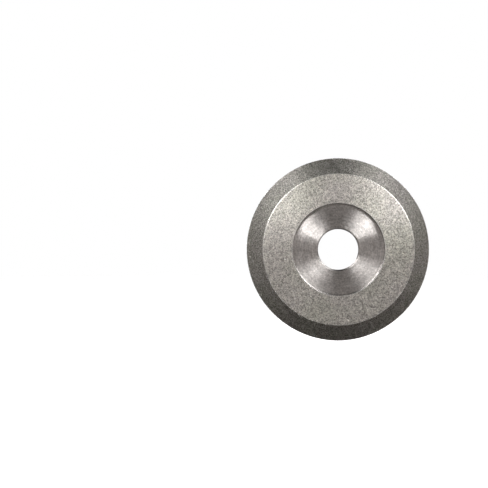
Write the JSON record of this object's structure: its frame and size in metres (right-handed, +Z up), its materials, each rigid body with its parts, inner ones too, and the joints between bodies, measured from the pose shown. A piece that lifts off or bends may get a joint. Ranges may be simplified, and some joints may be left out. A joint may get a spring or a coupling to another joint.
{
  "type": "diamond grinding wheel",
  "caption": "Dish-shaped diamond grinding wheel: turned steel core with a plain bore, bevelled to a narrow rim and plated with diamond grit.",
  "frame": {"origin": "centre of the wheel, on the bore's axis and midway between the two end faces", "axes": "+Y along the bore's axis towards the dished back, -Y towards the broad grinding face, +Z up with the wheel on edge"},
  "size_m": [0.1, 0.01, 0.1],
  "materials": {
    "turned_steel": "lathe-turned bright steel with fine concentric tool marks",
    "diamond_plating": "one layer of diamond grit held in electroplated nickel, matt grey with bright specks"
  },
  "bodies": {
    "root": {"core_body": "turned_steel", "front_face_abrasive": "diamond_plating", "front_bevel_abrasive": "diamond_plating", "rim_nose_abrasive": "diamond_plating", "back_bevel_abrasive": "diamond_plating", "back_land_abrasive": "diamond_plating"}
  },
  "joints": []
}
